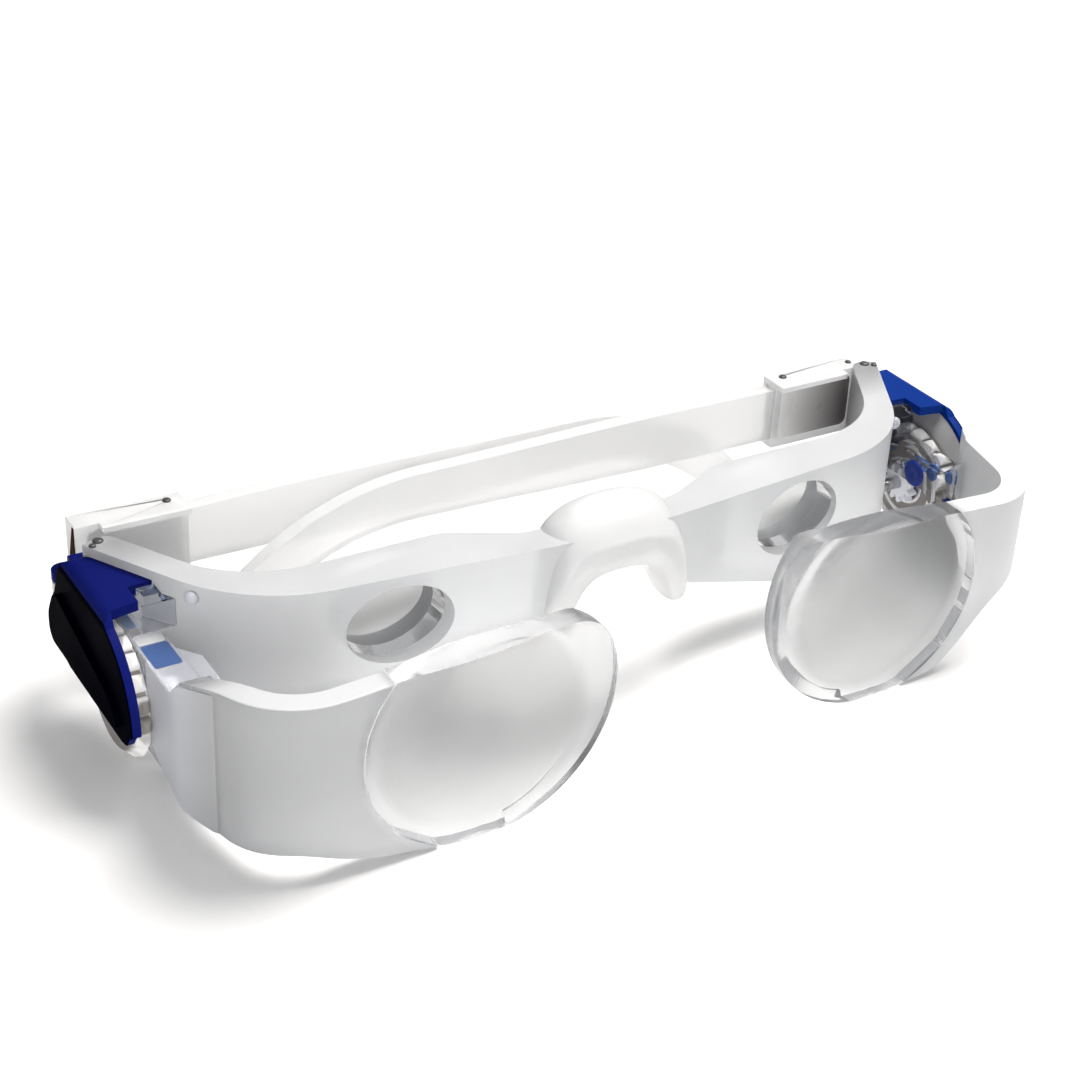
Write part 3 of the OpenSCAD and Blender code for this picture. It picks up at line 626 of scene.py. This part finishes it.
def plate(width, height, radius, centre):
    """The outline of a rectangle with rounded corners."""
    steps = 5
    points = []
    for sx, sy, start in ((1, 1, 0), (-1, 1, 90), (-1, -1, 180), (1, -1, 270)):
        for k in range(steps + 1):
            a = math.radians(start + 90 * k / steps)
            points.append((centre[0] + sx * (width / 2 - radius) + radius * math.cos(a),
                           centre[1] + sy * (height / 2 - radius) + radius * math.sin(a)))
    return points


def head(radius, rim):
    """Profile of a pin or screw head, domed above its rim."""
    return [(radius, -0.05), (radius, rim), (radius * 0.8, rim + 0.14), (radius * 0.3, rim + 0.2)]


def mesh_piece(name, shape, material, body):
    """A smooth piece that rides on a body, with the material that it is given."""
    vertices, faces = shape
    mesh = bpy.data.meshes.new(name)
    mesh.from_pydata(vertices, [], faces)
    mesh.validate()
    mesh.materials.append(material)
    obj = bpy.data.objects.new(name, mesh)
    bpy.context.scene.collection.objects.link(obj)
    for polygon in mesh.polygons:
        polygon.use_smooth = True
    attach(obj, body)
    return obj


def rounded_piece(name, shape, material, body, width):
    """A piece with its edges rounded by a bevel, whose width is in millimetres."""
    obj = mesh_piece(name, shape, material, body)
    add_bevel(obj, width / 1000, 40).harden_normals = True


# Nose saddle

def make_saddle(material):
    """The soft nose saddle: one arch swept over the bridge, its top dipping towards the front."""
    stations = [(-1, *row) for row in SADDLE] + [(1, *row) for row in reversed(SADDLE)]
    vertices = []
    for sign, inner, outer, front, back, dip in stations:
        for rise, depth in SECTION:
            drop = dip * max(0.0, 0.7 - depth) / 0.45 if rise > 0.7 else 0.0
            v = min(1.0, rise) - drop
            x = sign * (inner[0] + (outer[0] - inner[0]) * v)
            z = inner[1] + (outer[1] - inner[1]) * v
            y = front + (back - front) * depth
            vertices.append(spot(x, y, z))
    shape = vertices, tube_faces(len(stations), len(SECTION))
    saddle = mesh_piece("soft_nose_saddle", shape, material, "frame")
    smooth = saddle.modifiers.new("subdivision", "SUBSURF")
    smooth.levels = smooth.render_levels = 3
    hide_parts("nose_saddle")


# Frosted arms

def arm_line(inset, start, tail):
    """Plan of an arm's outer or inner face: straight, round the bend, straight back and a thin tail."""
    straights, turns, tails = 8, 14, 3
    corner = Vector((ARM_X - ARM_LEAN - inset, PLATE_Y + inset))
    end = Vector((ARM_X - inset, ARM_END))
    way = (end - corner).normalized()
    radius = ARM_BEND - inset
    bend = math.acos(way.x)
    begin = corner - Vector((radius * math.tan(bend / 2), 0))
    centre = begin + Vector((0, radius))
    points = [Vector((start + (begin.x - start) * k / straights, PLATE_Y + inset)) for k in range(straights)]
    for k in range(turns + 1):
        a = bend * k / turns
        points.append(centre + radius * Vector((math.sin(a), -math.cos(a))))
    leave = points[-1]
    points += [leave + (end - leave) * k / straights for k in range(1, straights + 1)]
    if tail:
        points += [end + Vector((0.1 + inset * 0.2 * k, tail * k / tails)) for k in range(1, tails + 1)]
    return points


def past(distance):
    """Nothing before zero and the distance itself after it, with a smooth turn between."""
    return (distance + math.sqrt(distance * distance + 4)) / 2


def arm_heights(place, arm):
    """Lower and upper edge of an arm at a place of its plan; the lower one rises, bends up and goes on straight."""
    rises, bends, straight = 34.64, 43.9, 49.3
    low = max(0.0, (place.x - rises) * 0.1405 - 0.065)
    if place.x > bends:
        low += 0.0207 * min(place.x - bends, straight - bends) ** 2 + 0.2235 * max(place.x - straight, 0.0)
    share = min(max((place.x - 42.0) / 12.0, 0.0), 1.0)
    low += arm.lift * share * share * (3 - 2 * share) - arm.sink * past(place.x - 56.0)
    high = ARM_TOP + (ARM_X + 2 - place.x) * 0.0625 - arm.fall * past(place.y + 19.0)
    return low, high


def arm_height(place, arm, share):
    """Height of a point that lies at a share of the way from an arm's lower to its upper edge."""
    low, high = arm_heights(place, arm)
    return low + (high - low) * share


def arm_start(arm, share):
    """X at which an arm's plate meets the edge of the lens."""
    start, rounds = 45.0, 4
    for _ in range(rounds):
        z = arm_height(Vector((start, PLATE_Y)), arm, share)
        start = LENS_X + math.sqrt(LENS_ZONE ** 2 - (z - LENS_Z) ** 2)
    return start


def make_arm(side, material, group):
    """The frosted objective carrier: plate, bend and arm, as an outer and an inner grid joined at their edges."""
    sign, arm = SIGN[side], ARMS[side]
    rows = 9
    vertices = []
    for inset in (0.0, PLATE_T):
        for r in range(rows):
            share = r / (rows - 1)
            start = arm_start(arm, share)
            outer = arm_line(0.0, start, arm.tail)
            for place, beside in zip(arm_line(inset, start, arm.tail), outer):
                z = arm_height(beside, arm, share)
                vertices.append(spot(sign * place.x, place.y - ADVANCE[side], z))
    wide = len(outer)
    n = rows * wide
    faces = []
    for r in range(rows - 1):
        for k in range(wide - 1):
            a, b, c, d = r * wide + k, r * wide + k + 1, (r + 1) * wide + k + 1, (r + 1) * wide + k
            faces += [(a, b, c, d), (n + d, n + c, n + b, n + a)]
        for k, turned in ((0, False), (wide - 1, True)):
            quad = (r * wide + k, (r + 1) * wide + k, n + (r + 1) * wide + k, n + r * wide + k)
            faces.append(quad[::-1] if turned else quad)
    top = (rows - 1) * wide
    for k in range(wide - 1):
        faces += [(k, n + k, n + k + 1, k + 1), (top + k, top + k + 1, n + top + k + 1, n + top + k)]
    if sign < 0:
        faces = [face[::-1] for face in faces]
    carrier = mesh_piece("frosted_arm_" + side, (vertices, faces), material, "arm_" + side)
    soften(carrier, group, EDGES["objective"])
    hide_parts("objective_" + side)


# Trim on the blocks, the wheels, the housings, the sleeves and the frame

def make_flank_and_cheek(materials):
    """The flank towards the lens and the outer cheek of the left block."""
    sign, advance = SIGN["left"], ADVANCE["left"]
    flank = [(sign * x, y - advance) for x, y in FLANK]
    rounded_piece("block_flank", slab(flank, 7.4, RACK_TOP), materials["milky_plastic"],
                  "arm_left", 0.3)
    cheek = [(sign * x, y - advance, low, high) for x, y, low, high in CHEEK]
    rounded_piece("block_cheek", ribbon(cheek, 0.8), materials["milky_skin"],
                  "arm_left", 0.15)


def make_bosses(materials):
    """Blue bosses on the right block."""
    for k, (x, y, z, radius, material) in enumerate(BOSSES):
        boss = [(radius, 0), (radius, 0.3), (radius * 0.8, 0.5), (radius * 0.35, 0.45), (0.1, 0.3)]
        mesh_piece("blue_boss_%d" % k, lathe(boss, (x, y, z), (-1, 0, 0)), materials[material],
                   "arm_right")


def make_panes(side, materials):
    """Thin window plates on top of a block."""
    level, width, panes = PANES[side]
    for k, (near, far, material) in enumerate(panes):
        pane = plate(width, far - near, 0.4, (SIGN[side] * 62.2, (near + far) / 2 - ADVANCE[side]))
        rounded_piece("block_pane_%s_%d" % (side, k), slab(pane, level - 0.03, level + 0.03), materials[material],
                      "arm_" + side, 0.01)


def make_wheel_rings(side, materials):
    """Raised rings on the inner face of a focus wheel."""
    sign = SIGN[side]
    for k, (inner, outer) in enumerate(((3.3, 3.9), (5.6, 6.4), (7.6, 8.3))):
        ring = [(inner, -0.02), (inner, 0.1), (outer, 0.1), (outer, -0.02)]
        shape = lathe(ring, (sign * WHEEL_X, WHEEL_Y, WHEEL_Z), (-sign, 0, 0), 48, closed=True)
        mesh_piece("wheel_ring_%s_%d" % (side, k), shape, materials["white_plastic"],
                   "wheel_" + side)


def make_skirt(side, materials):
    """The rounded foot of a housing's outer wall."""
    sign = SIGN[side]
    low, high = sorted((sign * (WALL_X + 0.05), sign * (WALL_X + 1.36)))
    # The right skirt takes the paler copy of the navy plastic: painted light
    material = materials["navy_lit_plastic" if side == "right" else "navy_plastic"]
    rounded_piece("housing_skirt_" + side, slab(SKIRT[::sign], low, high, 0), material,
                  "frame", 0.3)


def make_sleeve_trim(side, materials):
    """Pin heads on a temple sleeve, the inlay of its face, which carries painted shade on the right, and a dark
    wedge of painted shade at its end.
    """
    sign, hinge_y, temple = SIGN[side], HINGE_Y[side], "temple_" + side
    pins = [("stop_pin_head_", HINGE_X - 15.0, 0.62)]
    if side == "right":
        pins.append(("sleeve_pin_", HINGE_X - 2.1, 0.5))
    for name, x, radius in pins:
        mesh_piece(name + side, lathe(head(radius, 0.1), (sign * x, hinge_y, SLEEVE_TOP), (0, 0, 1)),
                   materials["dark_steel"], temple)

    # Painted shade: on the right sleeve the inlay darkens the sleeve's face towards the hinge
    inlay = plate(13.4, 8.8, 1.2, (sign * (HINGE_X - 9.6), SLEEVE_TOP - 5.4))
    face = hinge_y - SLEEVE_HALF
    rounded_piece("sleeve_inlay_" + side, slab(inlay[::sign], face - 0.12, face + 0.05, 1),
                  materials["shade_inlay" if side == "right" else "white_plastic"],
                  temple, 0.05)

    # Painted shade: a dark brown wedge stands for the shaded end face of the sleeve
    foot, top = SLEEVE_TOP - 5.2, SLEEVE_TOP - 0.2
    wedge = [(hinge_y - 1.65, foot), (hinge_y + 0.6, foot), (hinge_y - 1.0, top), (hinge_y - 1.65, top)]
    low, high = sorted((sign * (HINGE_X - 1.22), sign * (HINGE_X - 1.1)))
    rounded_piece("sleeve_end_shade_" + side, slab(wedge, low, high, 0), materials["shade_brown"], temple, 0.05)


def make_frame_trim(side, materials):
    """Screw heads and a nub on an end of the frame, and the smoky liner of its housing."""
    sign = SIGN[side]
    for k, (x, y, radius) in enumerate(((63.3, 16.9, 0.75), (64.4, 15.9, 0.5))):
        mesh_piece("end_screw_%s_%d" % (side, k), lathe(head(radius, 0.12), (sign * x, y, FRAME_TOP), (0, 0, 1)),
                   materials["dark_steel"], "frame")

    nub = [(0.95, -0.1), (0.95, 0.4), (0.8, 0.8), (0.45, 1.1), (0.1, 1.2)]
    mesh_piece("nub_" + side, lathe(nub, (sign * 56.6, 1.2, 24.2), (sign * 0.872, -0.489, 0)),
               materials["milky_plastic"], "frame")

    turns = [math.radians(v) for v in range(0, 190, 8)]
    liner = [(WHEEL_Y + 11.6 * math.cos(a), WHEEL_Z + 1 + 11.6 * math.sin(a)) for a in turns]
    mesh_piece("housing_liner_" + side, slab(liner, sign * (WALL_X - 0.12), sign * (WALL_X - 0.02), 0),
               materials["smoke"], "frame")


# Floor, world and lamps

def seen_directly(tree):
    """1 for what the camera sees, straight or through clear pieces, and 0 for other rays."""
    rays = tree.nodes.new("ShaderNodeLightPath")
    seen = tree.nodes.new("ShaderNodeMath")
    seen.operation = "MAXIMUM"
    tree.links.new(rays.outputs["Is Camera Ray"], seen.inputs[0])
    tree.links.new(rays.outputs["Is Transmission Ray"], seen.inputs[1])
    return seen.outputs[0]


def make_floor():
    """A pale table that glows to white away from the glasses, for the camera alone."""
    n = Nodes("floor")
    n.feed("Base Color", n.blend(n.tone(6, 4), (0.86, 0.855, 0.85), (0.89, 0.885, 0.88)))
    n.gloss(400, 0.75, 0.85)
    n.bump(n.noise(900, 2), 0.1, 0.00005)
    glow = n.add("ShaderNodeEmission")
    glow.inputs["Color"].default_value = (1, 0.99, 0.985, 1)
    away = n.spread(n.radius((0, 0, 0), (1, 1, 0)), 0.01, 0.13, 0.08, 0.17)
    n.link(n.combine("MULTIPLY", seen_directly(n.tree), away), glow.inputs["Strength"])
    both = n.add("ShaderNodeAddShader")
    n.link(n.shader.outputs[0], both.inputs[0])
    n.link(glow.outputs[0], both.inputs[1])
    n.link(both.outputs[0], n.output.inputs["Surface"])
    half_width = 4
    corners = [(x * half_width, y * half_width, FLOOR_Z) for x, y in ((-1, -1), (1, -1), (1, 1), (-1, 1))]
    mesh = bpy.data.meshes.new("floor")
    mesh.from_pydata(corners, [], [(0, 1, 2, 3)])
    mesh.materials.append(n.material)
    floor = bpy.data.objects.new("floor", mesh)
    bpy.context.scene.collection.objects.link(floor)


def make_world():
    """Soft pale light from all round; the camera sees white."""
    world = bpy.data.worlds.new("studio")
    world.use_nodes = True
    tree = world.node_tree
    tree.nodes.clear()
    out = tree.nodes.new("ShaderNodeOutputWorld")
    mix = tree.nodes.new("ShaderNodeMixShader")
    soft = tree.nodes.new("ShaderNodeBackground")
    soft.inputs["Color"].default_value = (0.97, 0.985, 1, 1)
    soft.inputs["Strength"].default_value = 0.3
    white = tree.nodes.new("ShaderNodeBackground")
    white.inputs["Color"].default_value = (1, 1, 1, 1)
    tree.links.new(seen_directly(tree), mix.inputs[0])
    tree.links.new(soft.outputs[0], mix.inputs[1])
    tree.links.new(white.outputs[0], mix.inputs[2])
    tree.links.new(mix.outputs[0], out.inputs["Surface"])
    bpy.context.scene.world = world


def lamp(name, at, towards, size, power, colour=(1, 1, 1)):
    """A round soft lamp that points at a place; lengths are in metres."""
    data = bpy.data.lights.new(name, "AREA")
    data.shape = "DISK"
    data.size = size
    data.energy = power
    data.color = colour
    light = bpy.data.objects.new(name, data)
    light.location = at
    light.rotation_euler = (Vector(towards) - Vector(at)).to_track_quat("-Z", "Y").to_euler()
    bpy.context.scene.collection.objects.link(light)


def main():
    """Makes the camera, the stage and every piece, and gives the CAD nodes their materials and edges."""
    make_camera()
    make_floor()
    make_world()
    lamp("key", (0.29, 0.05, 0.62), (0, 0, 0), 0.46, 6.9, (1, 0.985, 0.96))
    lamp("fill", (-0.05, -0.1, 0.8), (0, 0, 0.01), 0.7, 1.0)
    lamp("front", (-0.22, -0.6, 0.12), (0, 0, 0.012), 0.4, 2.55)
    bpy.context.scene.view_settings.view_transform = "Standard"

    materials = make_materials()
    group = smoothing()
    slots = {part["node"]: part["material_slot"] for part in frame["record"]["subparts"]}
    for node, obj in frame["nodes"].items():
        obj.data.materials.clear()
        obj.data.materials.append(materials[REPAINTED.get(node, slots[node])])
        stem = node.rsplit("_", 1)[0] if node.endswith(("_left", "_right")) else node
        soften(obj, group, EDGES.get(stem, 0))
        if stem in ("ocular_lens", "objective_lens"):
            obj.visible_shadow = False

    make_saddle(materials["soft_saddle"])
    for side, arm in ARMS.items():
        material = frosted_arm("frosted_arm_" + side, arm.clear_from, arm.darker, arm.lighter)
        make_arm(side, material, group)
        if side == "left":
            make_flank_and_cheek(materials)
        else:
            make_bosses(materials)
        make_panes(side, materials)
        make_wheel_rings(side, materials)
        make_skirt(side, materials)
    for side in SIGN:
        make_sleeve_trim(side, materials)
        make_frame_trim(side, materials)


main()
